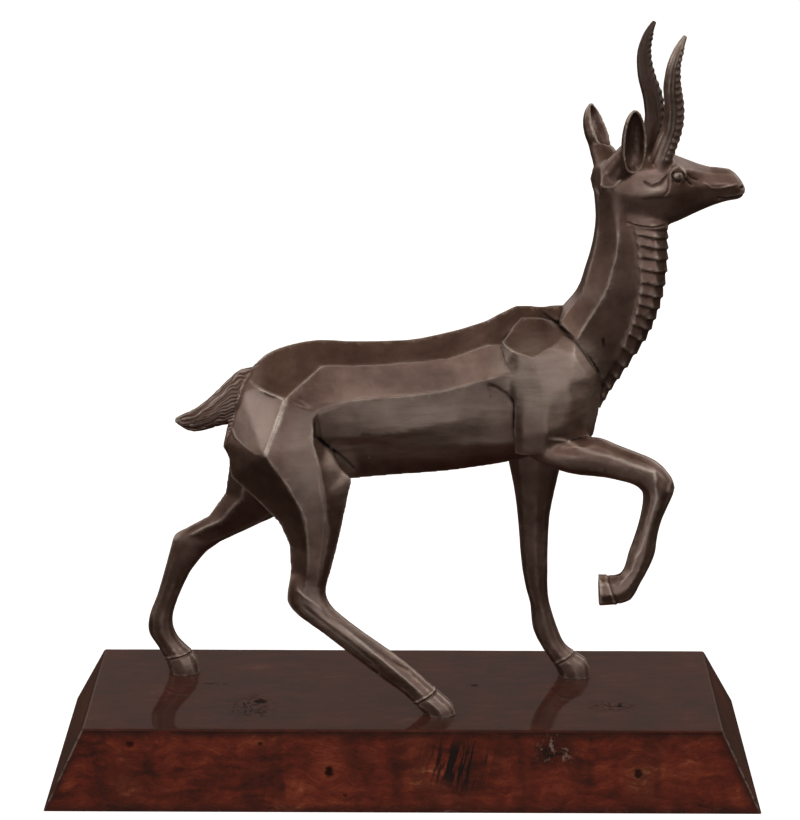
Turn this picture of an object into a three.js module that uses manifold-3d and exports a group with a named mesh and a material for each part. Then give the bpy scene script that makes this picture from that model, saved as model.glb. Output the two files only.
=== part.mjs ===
// A cast bronze antelope in mid stride, carved in broad planes, on a wooden plinth with sloping sides.
// Millimetres, +Z up. The origin is the middle of the plinth's underside and the antelope faces +X.
import * as THREE from 'three';
import { mergeVertices } from 'three/addons/utils/BufferGeometryUtils.js';
import Module from 'manifold-3d';

// Plinth
const plinthLength = 432;
const plinthDepth = 170;
const plinthHeight = 44;
const plinthSlope = 22;
const plinthChamfer = 1.5;

// Antelope
const antelopeHeight = 415;
const antelopeSideways = -4;
const headYaw = 16;
const throatFolds = 17;
const hornRings = 19;

// The cuts below are measured in millimetres from the plinth's top and from the figure's middle. The
// finished figure is that form at antelopeHeight, from hoof to horn tip.
const headForward = 120;

const wasm = await Module();
wasm.setup();

// A closed body from rings that all have the same number of points, each ring a list of Vector3.
function skin(rings) {
  const count = rings[0].length;
  const points = rings.flat();
  const faces = [];
  for (let ring = 0; ring < rings.length - 1; ring += 1) {
    for (let i = 0; i < count; i += 1) {
      const j = (i + 1) % count;
      const [a, b] = [ring * count + i, ring * count + j];
      const [c, d] = [a + count, b + count];
      const split = points[a].distanceTo(points[d]) < points[b].distanceTo(points[c]);
      faces.push(...(split ? [a, b, d, a, d, c] : [a, b, c, b, d, c]));
    }
  }
  for (const [ring, turned] of [[0, true], [rings.length - 1, false]]) {
    const middle = points.length;
    const centre = new THREE.Vector3();
    rings[ring].forEach((point) => centre.addScaledVector(point, 1 / count));
    points.push(centre);
    for (let i = 0; i < count; i += 1) {
      const [a, b] = [ring * count + i, ring * count + ((i + 1) % count)];
      faces.push(...(turned ? [middle, b, a] : [middle, a, b]));
    }
  }
  const geometry = new THREE.BufferGeometry().setFromPoints(points);
  geometry.setIndex(faces);
  return geometry;
}

// Rings added between the given ones, so that each long edge runs as a smooth curve.
function flow(rings, steps) {
  const rails = rings[0].map((_, i) => new THREE.CatmullRomCurve3(rings.map((ring) => ring[i])));
  const total = (rings.length - 1) * steps;
  return Array.from({ length: total + 1 }, (_, step) => rails.map((rail) => rail.getPoint(step / total)));
}

function solidOf(geometry) {
  const bare = geometry.clone();
  ['normal', 'uv'].forEach((name) => bare.deleteAttribute(name));
  const merged = mergeVertices(bare, 1e-4);
  const mesh = new wasm.Mesh({
    numProp: 3,
    vertProperties: new Float32Array(merged.attributes.position.array),
    triVerts: new Uint32Array(merged.index.array),
  });
  const solid = new wasm.Manifold(mesh);
  if (solid.volume() >= 0) return solid;
  for (let i = 0; i < mesh.triVerts.length; i += 3) {
    [mesh.triVerts[i + 1], mesh.triVerts[i + 2]] = [mesh.triVerts[i + 2], mesh.triVerts[i + 1]];
  }
  return new wasm.Manifold(mesh);
}

function geometryOf(solid) {
  const mesh = solid.getMesh();
  const geometry = new THREE.BufferGeometry();
  geometry.setAttribute('position', new THREE.BufferAttribute(mesh.vertProperties, 3));
  geometry.setIndex(new THREE.BufferAttribute(mesh.triVerts, 1));
  return geometry;
}

// A ring across the body from half a cut: each entry is [forward, up, half width], from one edge of
// the cut to the other. The two sides are mirror images.
function bothSides(cut) {
  const near = cut.map(([x, z, half]) => new THREE.Vector3(x, -half, z));
  const far = cut.map(([x, z, half]) => new THREE.Vector3(x, half, z));
  const last = cut.length - 1;
  const inner = far.filter((_, i) => !((i === 0 || i === last) && cut[i][2] === 0));
  return [...near, ...inner.reverse()];
}

// A ring round a shoulder or thigh: entries are [forward, up, outwards] from the hind edge to the
// fore edge, and the ring closes on a flat inner face at the given distance from the middle.
function oneSide({ outer, inner }, side) {
  const first = outer[0];
  const last = outer[outer.length - 1];
  const inside = [0.8, 0.2].map((share) => [
    first[0] + (last[0] - first[0]) * share,
    first[1] + (last[1] - first[1]) * share,
    inner,
  ]);
  return [...outer, ...inside].map(([x, z, out]) => new THREE.Vector3(x, side * out, z));
}

// A ring round a lower leg, from its hind edge to its fore edge in the side view. The long planes of
// the leg meet on a ridge at a share of the way forward.
const legShape = [[0, 0.34], [0.2, 0.84], [0.56, 1], [0.84, 0.78], [1, 0.3]];
function acrossLeg([hindX, hindZ, foreX, foreZ, out, half], side) {
  const point = (share, width) => new THREE.Vector3(
    hindX + (foreX - hindX) * share,
    side * (out + half * width),
    hindZ + (foreZ - hindZ) * share,
  );
  const outer = legShape.map(([share, width]) => point(share, width));
  const inner = legShape.map(([share, width]) => point(share, -width));
  return [...outer, ...inner.reverse()];
}

// Trunk: belly keel, lower flank edge, lower ridge, flank ridge, back edge, spine.
const trunkCuts = [
  [[-100, 144, 0], [-104.5, 152, 7], [-110, 163, 8], [-104, 184, 5], [-96, 200, 9.5], [-92, 210, 0]],
  [[-88, 140, 4], [-90, 150, 14], [-92, 168, 17], [-91, 186, 14], [-84, 202, 18.5], [-82.4, 219.3, 0]],
  [[-70, 139, 7], [-70, 150, 19], [-72, 168, 23], [-70, 187, 24], [-69.4, 200.2, 28.5], [-69, 225, 0]],
  [[-52, 141, 8], [-53, 156, 20], [-53, 174, 27], [-52.6, 192.7, 31.2], [-48, 218, 20], [-51, 228.2, 0]],
  [[-33, 143, 9], [-33, 168, 20], [-31, 175, 26], [-33, 199, 30], [-31, 218, 20], [-32, 227.5, 0]],
  [[-3, 146, 9], [-3, 170, 23], [-3, 178, 28], [-3, 202, 31], [-2, 220, 20], [2, 228.3, 0]],
  [[23, 148, 9], [26, 169, 24], [22, 183, 28.5], [23, 205.5, 31], [27, 223, 20], [20, 231.5, 0]],
  [[44, 151, 9], [44, 170, 24], [40, 188.5, 28], [50, 213, 30.5], [49, 231, 20], [49, 240, 0]],
  [[62, 154, 9], [64, 170, 23], [62, 194, 27], [66, 216, 29], [62, 232, 20], [67, 249.5, 0]],
  [[86, 160, 8], [88, 172, 20], [88, 192, 26], [88, 212, 28], [84, 236, 17], [83, 249, 0]],
  [[108, 170, 6], [111, 182, 16], [113, 196, 20], [113, 212, 21], [104, 232, 18], [98, 250, 0]],
  [[113, 178, 3], [115, 186, 10], [117, 197, 13], [117, 207, 13], [112, 222, 12], [108, 235, 0]],
];

// Haunch and thigh: hind edge, outer ridge, front ridge, fore edge.
const haunchCuts = [
  { outer: [[-90, 205, 4], [-74, 207, 12], [-58, 209, 12], [-48, 204, 17]], inner: 0 },
  { outer: [[-96.5, 198.6, 10.5], [-69.4, 199.8, 29], [-52.6, 192.7, 31.8], [-46, 190, 25]], inner: 1 },
  { outer: [[-107, 166, 12], [-82, 167, 36], [-53.6, 174, 34], [-45.5, 174, 22]], inner: 1 },
];
const nearThighCuts = [
  ...haunchCuts,
  { outer: [[-104, 146, 15], [-71, 151, 36], [-48.5, 158, 34.5], [-36.5, 156, 26]], inner: 4 },
  { outer: [[-90, 134.5, 19], [-61, 132, 35], [-46, 140, 34], [-30.5, 148.5, 25.5]], inner: 9 },
  { outer: [[-74.5, 120, 24], [-57.8, 116, 34], [-44.3, 119, 33.2], [-36.3, 121, 27]], inner: 15 },
  { outer: [[-68.7, 107, 26], [-57, 106, 33.4], [-45.4, 107, 32.7], [-39.3, 107.5, 27.5]], inner: 18 },
  { outer: [[-68.1, 93, 27.8], [-57.2, 93, 33], [-48.4, 93, 32.4], [-42.8, 93.5, 28.8]], inner: 21 },
  { outer: [[-69.5, 79, 29], [-59, 79, 32.4], [-51.5, 79, 31.8], [-46.9, 79, 28.9]], inner: 24 },
];
const farThighCuts = [
  ...haunchCuts,
  { outer: [[-107, 144, 16], [-84, 148, 36], [-57, 152, 34], [-42, 154, 25]], inner: 2 },
  { outer: [[-110, 124, 20], [-94, 127, 35], [-72, 127, 33], [-58, 127, 25]], inner: 8 },
  { outer: [[-121, 107.5, 24], [-108, 111, 33], [-93, 109, 32], [-81, 106, 25]], inner: 15 },
  { outer: [[-132, 100.5, 27], [-121, 98, 32], [-111, 95, 31], [-102, 95.5, 26]], inner: 20 },
  { outer: [[-141.3, 94.2, 28.4], [-135, 92, 30.8], [-129, 88, 30.4], [-122.8, 84.6, 27.6]], inner: 23 },
];

// Lower legs: hind edge, fore edge, distance out from the middle, half thickness.
const nearHindCuts = [
  [-68, 88, -45.6, 89, 27.5, 4.2],
  [-69.4, 80, -46.2, 82, 27.8, 5.1],
  [-70, 72, -46.7, 77, 28, 5.4],
  [-66, 65.5, -46, 73.5, 28.5, 5.6],
  [-60.5, 60.5, -43.5, 68.5, 29, 5.6],
  [-49.9, 53, -38.5, 63.5, 30, 5.4],
  [-36.1, 42, -26, 53.5, 31, 5.2],
  [-15.1, 25, -5, 38.5, 32.5, 5.2],
  [-4, 16.8, 6.5, 29.2, 33, 5.6],
  [3.5, 10.8, 13.5, 22.5, 33.5, 6],
  [7.5, 6.5, 21, 15.5, 34, 6.4],
  [10.5, 3.5, 27.5, 9.5, 34, 7],
  [13.2, 0.8, 31.3, 4.6, 34, 7.2],
  [13.7, -1, 32.3, -1, 34, 7.2],
];
const farHindCuts = [
  [-131, 99.5, -112.5, 91, 26, 4.2],
  [-139, 96.2, -119.3, 86, 26.2, 5],
  [-143, 93, -122.8, 83.3, 26.5, 5.2],
  [-145, 87, -126, 79.5, 27, 5.4],
  [-148.4, 74.6, -133.5, 69.3, 28, 5.4],
  [-154, 55.5, -141.3, 52.5, 28.6, 5],
  [-157.5, 46, -144, 45, 29, 5.2],
  [-160.4, 38, -145.8, 36.5, 29, 5.8],
  [-160.6, 27.5, -145, 29, 29, 5.8],
  [-155.2, 18, -141.8, 22.5, 29.4, 5.8],
  [-151.5, 10, -134, 14, 29.6, 6.6],
  [-149.4, 4.5, -130, 7.5, 29.6, 7.2],
  [-149, -1, -129.1, -1, 29.6, 7.4],
];
const farForeCuts = [
  [60, 176, 104, 176, 18, 9],
  [63, 154, 100, 156, 21, 9],
  [64.9, 143.5, 96, 139, 22.5, 8.6],
  [68.1, 127.8, 93, 123.5, 24, 8],
  [70.1, 114, 90.9, 110.5, 24.6, 7.4],
  [72, 95, 90, 94.5, 25, 6.8],
  [73.9, 74.6, 90, 72, 25.4, 6.2],
  [76.8, 59.2, 90.6, 55, 25.6, 5.8],
  [79.6, 49, 93.4, 42.5, 25.8, 5.8],
  [81.3, 33, 97.6, 30, 26, 6],
  [87, 20.5, 101.5, 21.5, 26, 6],
  [94, 9.5, 107.5, 16.2, 26, 6.4],
  [96.9, 4.5, 114.8, 11.5, 26, 7.2],
  [98, 1.6, 117.6, 5.5, 26, 7.5],
  [98.2, -1, 118.2, -1, 26, 7.5],
];
const nearForeCuts = [
  [72, 164, 84, 174, 21, 5],
  [83, 158.8, 92, 174, 24, 7.6],
  [98, 154, 106, 174.5, 25.4, 8.2],
  [110, 152.2, 116.4, 175.8, 26, 8],
  [120, 151.5, 127, 171, 26.5, 7.6],
  [132, 149, 139.6, 166.3, 27.5, 7],
  [139.5, 146.4, 151, 161.3, 28, 6.6],
  [143.2, 142.4, 159.6, 152.5, 28, 6.6],
  [143.8, 137.3, 162.4, 145.5, 28, 6.6],
  [143.3, 130.5, 160, 137, 28, 6.2],
  [141.2, 120.1, 155.6, 126, 28, 5.6],
  [138.6, 111, 152.9, 114.5, 28, 5.4],
  [136.2, 103.5, 151.8, 103.5, 28, 5.9],
  [134, 94, 148.4, 94, 28, 5.9],
  [131.5, 89.6, 143, 83, 28, 5.8],
  [126.5, 88, 138, 73.4, 28, 6.4],
  [122.5, 88.2, 129, 70.6, 28, 7.2],
  [118.3, 88.7, 118.8, 69.8, 28, 7.5],
];

// Shoulder and upper arm: hind edge, three ridges, fore edge.
const shoulderCuts = [
  {
    outer: [
      [70, 244.5, 8], [74, 245.3, 10], [78, 245.5, 11],
      [82, 245.2, 11], [85, 244.4, 10.5], [88, 243.6, 9],
    ],
    inner: 2,
  },
  {
    outer: [
      [58.5, 233, 21], [65.4, 229.2, 28], [76.4, 226, 31.5],
      [87.2, 232, 28], [94.4, 237.3, 23], [101.5, 235.8, 23],
    ],
    inner: 2,
  },
  {
    outer: [
      [61, 222, 26], [68.5, 220, 30], [79, 218, 32],
      [91.5, 221.5, 30], [101, 227, 27], [108.8, 226, 22],
    ],
    inner: 3,
  },
  {
    outer: [
      [64, 210, 30], [72, 209, 31.5], [82, 208, 32.7],
      [97, 209, 31.5], [109.5, 213, 27], [116.2, 214, 19.5],
    ],
    inner: 4,
  },
  {
    outer: [
      [66, 197, 29], [72, 197, 31.5], [84.7, 198, 33.5],
      [100, 198, 31.5], [112.5, 203, 24.5], [118.5, 204, 14.5],
    ],
    inner: 6,
  },
  {
    outer: [
      [66, 180, 28], [71, 180, 31], [85, 181, 33],
      [96, 184, 31.5], [110.5, 187, 24], [117.3, 188, 13],
    ],
    inner: 8,
  },
  {
    outer: [
      [66, 164, 25], [71, 164, 28.5], [84, 166, 30.5],
      [96, 170, 28.5], [109, 171.5, 23], [115, 173, 15],
    ],
    inner: 11,
  },
];

// Neck: nape, edge of the nape, side ridge, edge of the throat band, throat.
const neckCuts = [
  [[86, 236, 0], [88, 234, 14], [97, 224, 24], [111, 201, 18], [114, 184, 0]],
  [[96.4, 251.5, 0], [97.5, 249, 11], [103.5, 237, 22.5], [119.5, 209, 16.5], [119.5, 190, 0]],
  [[101.5, 257.5, 0], [102.5, 255, 10], [108, 245, 20.5], [127, 221.5, 14.5], [131.5, 208, 0]],
  [[105, 264, 0], [106, 262, 9.5], [114, 254, 18.5], [134.6, 238.6, 12.5], [143, 228, 0]],
  [[107.3, 271.8, 0], [108.5, 271, 9], [119.6, 264, 17], [138.4, 251, 11.5], [149, 243.5, 0]],
  [[110, 281, 0], [111, 280.5, 8.5], [123.3, 277, 15.5], [140.4, 265, 11], [152, 259, 0]],
  [[112.3, 292, 0], [113.3, 291.5, 8], [125.9, 291, 14.5], [139.6, 280, 10.5], [153, 275, 0]],
  [[113.3, 305, 0], [114.3, 304.5, 8], [125.3, 304, 14], [137, 296, 10.5], [153, 291, 0]],
  [[111.5, 322, 0], [113, 321, 8], [124, 319, 13], [131.6, 309, 10.5], [151, 308, 0]],
];

// Throat band, from the jaw down to the chest: where its edge runs, its half width there, and where
// its front runs.
const throatBand = [
  { edge: [133, 306], half: 11.5, front: [155.2, 303] },
  { edge: [137.5, 295], half: 11.5, front: [155.4, 291] },
  { edge: [139.4, 280], half: 11.6, front: [155.6, 277] },
  { edge: [140.2, 264], half: 12, front: [153.8, 260] },
  { edge: [138.2, 250.5], half: 12.4, front: [150.2, 245.5] },
  { edge: [134.4, 238], half: 13.2, front: [144.6, 232] },
  { edge: [127, 221.5], half: 14.4, front: [133.9, 214.5] },
  { edge: [119.2, 208.8], half: 14.4, front: [124.2, 199.5] },
  { edge: [113.5, 196], half: 10, front: [117.6, 186] },
];
const foldDepth = 1.5;

// Head, in its own frame with X along the nose: chin, jaw edge, lower cheek, cheek, brow, crown.
const headCuts = [
  [[-6.5, 316, 0], [-6.8, 318, 5], [-7.2, 321, 8], [-7.8, 326, 9.5], [-7, 332, 8], [-5.5, 335, 0]],
  [[8, 300, 0], [7.5, 302, 8], [6, 308, 13], [3, 321, 14.5], [1, 334, 12], [0, 339, 0]],
  [[20, 297, 0], [20, 299.5, 10], [20, 306, 15.2], [20, 320, 16.5], [18, 335, 13], [18, 341, 0]],
  [[33, 296.5, 0], [33, 299, 9.5], [33, 305, 14.6], [32, 320, 16], [33, 336, 13], [34, 342, 0]],
  [[43, 298.5, 0], [43, 300.8, 7.6], [43, 306.5, 12], [42, 319, 13.6], [41, 334, 12.5], [43, 339, 0]],
  [[53, 302.5, 0], [53, 304.2, 6.2], [53, 309, 9.6], [52.5, 321.5, 11], [52, 331, 8.6], [52.6, 335, 0]],
  [[65, 306.5, 0], [65, 308.2, 5.4], [65, 311.4, 8], [64.6, 321.5, 9.2], [64, 328, 6.4], [64, 331, 0]],
  [[76, 309, 0], [76, 310.6, 5.2], [76, 313.2, 7.7], [76.5, 320.5, 8.6], [76, 326.6, 5.4], [76, 329.2, 0]],
  [[82.5, 309.7, 0], [82.5, 310.9, 4.4], [83, 313, 6.5], [83.6, 318, 7], [81.6, 323.4, 4.6], [80.5, 326, 0]],
  [[85, 311.5, 0], [85.2, 312.4, 2.8], [85.8, 314, 4], [86.3, 316.2, 4.4], [84.5, 320.2, 3], [83.8, 321.4, 0]],
];

// Horn: where its middle runs [forward, out, up], its fore-and-aft radius and its sideways radius.
const hornPath = [
  { at: [29, 8.5, 334], long: 6.6, wide: 5.2 },
  { at: [32.5, 9.5, 346], long: 6.6, wide: 5.2 },
  { at: [35.5, 12, 358], long: 6.3, wide: 5 },
  { at: [34.8, 16, 371], long: 6, wide: 4.8 },
  { at: [31.4, 20.5, 384], long: 5.2, wide: 4.3 },
  { at: [30.6, 24, 396], long: 4.2, wide: 3.6 },
  { at: [33, 25.5, 406.5], long: 3, wide: 2.7 },
  { at: [36.6, 26, 414.2], long: 1.3, wide: 1.2 },
];
const nearHorn = { ahead: -0.8, rootBack: 0 };
const farHorn = { ahead: 0, rootBack: 3.5 };
const hornRingDepth = 0.55;

// Ears, in the head's frame: lowest point of the rim, tip, the way that the cup faces, where the stem
// that carries the cup leaves the head, and how wide the cup is.
const ears = [
  { root: [10.6, -18.6, 333], tip: [5, -29.5, 373], faces: [0.16, -1, 0.2], foot: [3, -4, 331], wide: 1 },
  {
    root: [5.6, 14.5, 338.5],
    tip: [-0.2, 30, 366.5],
    faces: [0.72, -0.76, 0],
    foot: [3.2, 5, 332],
    wide: 1.2,
  },
];
const earHalfWidth = 8.3;
const earDepth = 8.5;
const earWall = 1.5;
const earStem = { low: 9.5, high: 5.5 };

// Eyes, in the head's frame.
const eyeAt = [39, 14, 329.5];
const eyeRadius = 4.6;

// Tail: top edge, lower edge, half thickness.
const tailCuts = [
  [-88, 211, -94, 178, 6],
  [-97, 209.6, -107, 175, 7.5],
  [-106.5, 202, -114, 173.5, 7.8],
  [-118.3, 190, -120.5, 171.6, 6.8],
  [-126.5, 184, -127.5, 170.6, 5.6],
  [-133.5, 180.8, -133.6, 173, 4],
  [-138, 178.4, -138.2, 176.6, 1.4],
];

function trunk() {
  return solidOf(skin(flow(trunkCuts.map(bothSides), 2)));
}

function thigh(cuts, side) {
  return solidOf(skin(cuts.map((cut) => oneSide(cut, side))));
}

function lowerLeg(cuts, side) {
  return solidOf(skin(flow(cuts.map((cut) => acrossLeg(cut, side)), 2)));
}

function shoulder(side) {
  return solidOf(skin(shoulderCuts.map((cut) => oneSide(cut, side))));
}

function neck() {
  return solidOf(skin(flow(neckCuts.map(bothSides), 2)));
}

// Each fold starts close to the neck and ends in a lip that overhangs the next one.
function throat() {
  const curve = (pick) => new THREE.CatmullRomCurve3(throatBand.map(pick));
  const edge = curve(({ edge: [x, z], half }) => new THREE.Vector3(x, half, z));
  const front = curve(({ front: [x, z] }) => new THREE.Vector3(x, 0, z));
  const rings = [];
  const lipShare = 0.86;
  for (let fold = 0; fold < throatFolds; fold += 1) {
    for (const [share, proud] of [[0, 0], [lipShare, foldDepth]]) {
      const along = (fold + share) / throatFolds;
      const side = edge.getPoint(along);
      const nose = front.getPoint(along);
      const out = nose.clone().sub(new THREE.Vector3(side.x, 0, side.z)).normalize();
      const back = side.clone().addScaledVector(out, -7);
      const at = (share2, width, push) => side.clone()
        .lerp(nose, share2)
        .setY(side.y * width)
        .addScaledVector(out, push);
      const half = [
        new THREE.Vector3(back.x, side.y * 0.6, back.z),
        at(0, 1 + proud * 0.04, 0),
        at(0.62, 0.8 + proud * 0.06, proud * 0.8),
        at(1, 0.34, proud),
      ];
      rings.push([...half, ...half.map((p) => p.clone().setY(-p.y)).reverse()]);
    }
  }
  return solidOf(skin(rings));
}

function skull() {
  return solidOf(skin(flow(headCuts.map(bothSides), 2)));
}

// The rings stand out on the front of the horn, and its back is smooth.
function horn(side, { ahead, rootBack }) {
  const path = hornPath.map(({ at: [x, y, z] }, i) => {
    const back = rootBack * (1 - i / (hornPath.length - 1));
    return new THREE.Vector3(x + ahead - back, side * y, z);
  });
  const middle = new THREE.CatmullRomCurve3(path);
  const size = new THREE.CatmullRomCurve3(hornPath.map(({ long, wide }) => new THREE.Vector3(long, wide, 0)));
  const sides = 10;
  const cuts = hornRings * 2 + 4;
  const rings = [];
  for (let cut = 0; cut <= cuts; cut += 1) {
    const along = cut / cuts;
    const centre = middle.getPoint(along);
    const up = middle.getTangent(along);
    const out = new THREE.Vector3(0, side, 0).addScaledVector(up, -up.y * side).normalize();
    const front = new THREE.Vector3().crossVectors(out, up).multiplyScalar(side);
    const { x: long, y: wide } = size.getPoint(along);
    const crest = cut % 2 === 1 && cut < hornRings * 2 ? hornRingDepth : 0;
    const ring = [];
    for (let i = 0; i < sides; i += 1) {
      const turn = (i / sides) * 2 * Math.PI;
      const push = crest * Math.max(0, Math.cos(turn) + 0.35);
      ring.push(centre.clone()
        .addScaledVector(front, Math.cos(turn) * (long + push))
        .addScaledVector(out, Math.sin(turn) * (wide + push)));
    }
    rings.push(ring);
  }
  return solidOf(skin(rings));
}

// A cup on a stem. The cup is round at both ends and widest low down, and is hollowed out from the
// side that it faces.
function ear({ root, tip, faces, foot, wide }) {
  const start = new THREE.Vector3(...root);
  const axis = new THREE.Vector3(...tip).sub(start);
  const length = axis.length();
  axis.normalize();
  const ahead = new THREE.Vector3(...faces);
  ahead.addScaledVector(axis, -ahead.dot(axis)).normalize();
  const across = new THREE.Vector3().crossVectors(axis, ahead);
  const at = (along, out, behind) => start.clone()
    .addScaledVector(axis, along)
    .addScaledVector(across, out)
    .addScaledVector(ahead, -behind);
  const levels = 12;
  const arc = [-90, -60, -30, 0, 30, 60, 90].map(THREE.MathUtils.degToRad);
  const egg = (wall, opening) => {
    const rings = [];
    for (let level = 0; level <= levels; level += 1) {
      const share = (1 - Math.cos((Math.PI * level) / levels)) / 2;
      const fullness = Math.sqrt(Math.max(0.02, 1 - (2 * share ** 0.8 - 1) ** 2));
      const along = wall + share * (length - 2 * wall);
      const half = (earHalfWidth * wide - wall) * fullness;
      const depth = (earDepth * wide - wall) * fullness;
      const back = arc.map((turn) => at(along, Math.sin(turn) * half, Math.cos(turn) * depth));
      rings.push([...back, ...opening.map(([side, proud]) => at(along, side * half, -proud))]);
    }
    return solidOf(skin(rings));
  };
  const low = new THREE.Vector3(...foot);
  const high = at(length * 0.36, 0, earDepth * 0.55);
  const rise = high.clone().sub(low);
  const stem = new THREE.CylinderGeometry(earStem.high, earStem.low, rise.length(), 12);
  const upright = new THREE.Vector3(0, 1, 0);
  stem.applyQuaternion(new THREE.Quaternion().setFromUnitVectors(upright, rise.clone().normalize()));
  stem.translate(...low.lerp(high, 0.5).toArray());
  const hollow = egg(earWall, [[1, 4], [-1, 4]]);
  return egg(0, []).add(solidOf(stem)).subtract(hollow);
}

function eye(side) {
  const ball = new THREE.SphereGeometry(eyeRadius, 12, 8);
  ball.scale(1.1, 0.6, 0.85);
  const lid = new THREE.TorusGeometry(eyeRadius * 1.05, 1, 6, 14);
  lid.rotateX(Math.PI / 2);
  lid.scale(1.1, 1, 0.85);
  const [x, y, z] = eyeAt;
  for (const piece of [ball, lid]) {
    piece.rotateZ(side * -0.12);
    piece.translate(x, side * (y - 1.4), z);
  }
  return solidOf(ball).add(solidOf(lid));
}

function tail() {
  const rings = tailCuts.map(([topX, topZ, lowX, lowZ, half]) => (
    acrossLeg([topX, topZ, lowX, lowZ, 0, half], 1)
  ));
  return solidOf(skin(flow(rings, 2)));
}

function head() {
  const pieces = [skull(), horn(1, farHorn), horn(-1, nearHorn), ear(ears[0]), ear(ears[1]), eye(1), eye(-1)];
  const whole = pieces.reduce((sum, piece) => sum.add(piece));
  return whole.rotate([0, 0, headYaw]).translate([headForward, 0, 0]);
}

function antelope() {
  const pieces = [
    trunk(),
    thigh(nearThighCuts, -1),
    thigh(farThighCuts, 1),
    lowerLeg(nearHindCuts, -1),
    lowerLeg(farHindCuts, 1),
    shoulder(-1),
    shoulder(1),
    lowerLeg(farForeCuts, 1),
    lowerLeg(nearForeCuts, -1),
    neck(),
    throat(),
    head(),
    tail(),
  ];
  const whole = pieces.reduce((sum, piece) => sum.add(piece));
  const aboveGround = whole.trimByPlane([0, 0, 1], 0);
  const drawnHeight = aboveGround.boundingBox().max[2];
  const grown = aboveGround.scale(antelopeHeight / drawnHeight);
  const mesh = new THREE.Mesh(geometryOf(grown), new THREE.MeshStandardMaterial({
    color: 0x3d302b,
    roughness: 0.38,
    metalness: 0.9,
  }));
  mesh.name = 'antelope';
  mesh.position.set(0, antelopeSideways, plinthHeight);
  return mesh;
}

// A block with sloping sides and chamfered upper edges.
function plinth() {
  const level = (height, inset) => {
    const x = plinthLength / 2 - inset;
    const y = plinthDepth / 2 - inset;
    const cut = plinthChamfer;
    const corners = [
      [x, y - cut], [x - cut, y], [cut - x, y], [-x, y - cut],
      [-x, cut - y], [cut - x, -y], [x - cut, -y], [x, cut - y],
    ];
    return corners.map(([px, py]) => new THREE.Vector3(px, py, height));
  };
  const chamferInset = plinthSlope - (plinthChamfer * plinthSlope) / plinthHeight;
  const rings = [
    level(0, 0),
    level(plinthHeight - plinthChamfer, chamferInset),
    level(plinthHeight, chamferInset + plinthChamfer),
  ];
  const mesh = new THREE.Mesh(geometryOf(solidOf(skin(rings))), new THREE.MeshStandardMaterial({
    color: 0x4a1d12,
    roughness: 0.2,
    metalness: 0,
  }));
  mesh.name = 'plinth';
  return mesh;
}

const part = new THREE.Group();
part.add(plinth(), antelope());
export default part;
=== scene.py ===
from math import cos, pi, radians, sin

import bmesh
import bpy
import numpy as np
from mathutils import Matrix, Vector, noise


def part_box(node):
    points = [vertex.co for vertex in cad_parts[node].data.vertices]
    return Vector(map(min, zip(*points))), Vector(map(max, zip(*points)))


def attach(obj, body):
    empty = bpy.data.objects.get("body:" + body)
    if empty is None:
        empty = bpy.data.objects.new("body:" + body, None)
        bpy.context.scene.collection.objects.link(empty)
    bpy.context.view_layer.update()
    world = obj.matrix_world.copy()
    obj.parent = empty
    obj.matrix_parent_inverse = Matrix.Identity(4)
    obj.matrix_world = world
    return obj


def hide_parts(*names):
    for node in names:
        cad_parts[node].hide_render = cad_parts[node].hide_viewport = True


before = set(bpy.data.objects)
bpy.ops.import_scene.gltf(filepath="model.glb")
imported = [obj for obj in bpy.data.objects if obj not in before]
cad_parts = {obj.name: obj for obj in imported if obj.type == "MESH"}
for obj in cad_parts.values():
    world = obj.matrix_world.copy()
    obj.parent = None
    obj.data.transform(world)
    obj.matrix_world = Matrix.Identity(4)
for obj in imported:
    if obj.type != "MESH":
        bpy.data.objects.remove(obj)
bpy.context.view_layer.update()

mm = 0.001


# Helpers

def srgb(code):  # an sRGB hex value as linear RGBA
    parts = [int(code[i:i + 2], 16) / 255 for i in (1, 3, 5)]
    return [p / 12.92 if p <= 0.04045 else ((p + 0.055) / 1.055) ** 2.4 for p in parts] + [1.0]


def addNode(tree, kind, settings):  # a setting that is another node's output is linked, any other is set
    node = tree.nodes.new("ShaderNode" + kind)
    for name, value in settings.items():
        if isinstance(value, bpy.types.NodeSocket):
            tree.links.new(value, node.inputs[name])
        elif isinstance(name, int) or not hasattr(node, name):
            node.inputs[name].default_value = value
        else:
            setattr(node, name, value)
    return node.outputs


def fillRamp(colour, stops):  # stops: position and linear colour, from the first to the last
    ramp = colour.node.color_ramp
    for position, shade in stops[1:-1]:
        ramp.elements.new(position).color = shade
    for index in (0, -1):
        ramp.elements[index].position, ramp.elements[index].color = stops[index]


def newMaterial(name):
    material = bpy.data.materials.new(name)
    material.use_nodes = True
    tree = material.node_tree
    tree.nodes.clear()
    surface = tree.nodes.new("ShaderNodeBsdfPrincipled")
    output = tree.nodes.new("ShaderNodeOutputMaterial")
    tree.links.new(surface.outputs[0], output.inputs[0])
    return material, tree, surface


def newPiece(name, mesh, material):
    piece = bpy.data.objects.new(name, mesh)
    bpy.context.scene.collection.objects.link(piece)
    mesh.materials.clear()
    mesh.materials.append(material)
    return piece


def settle(piece):  # the modifiers' result becomes the piece's own mesh
    seen = piece.evaluated_get(bpy.context.evaluated_depsgraph_get())
    mesh, old = bpy.data.meshes.new_from_object(seen), piece.data
    piece.modifiers.clear()
    piece.data = mesh
    bpy.data.meshes.remove(old)


def rise(low, high, values):  # smooth step from 0 at low to 1 at high
    share = np.clip((values - low) / (high - low), 0, 1)
    return share * share * (3 - 2 * share)


def fade(distance, width):  # 1 on a line and near 0 at twice its width
    return np.exp(-(distance / width) ** 2)


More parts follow.
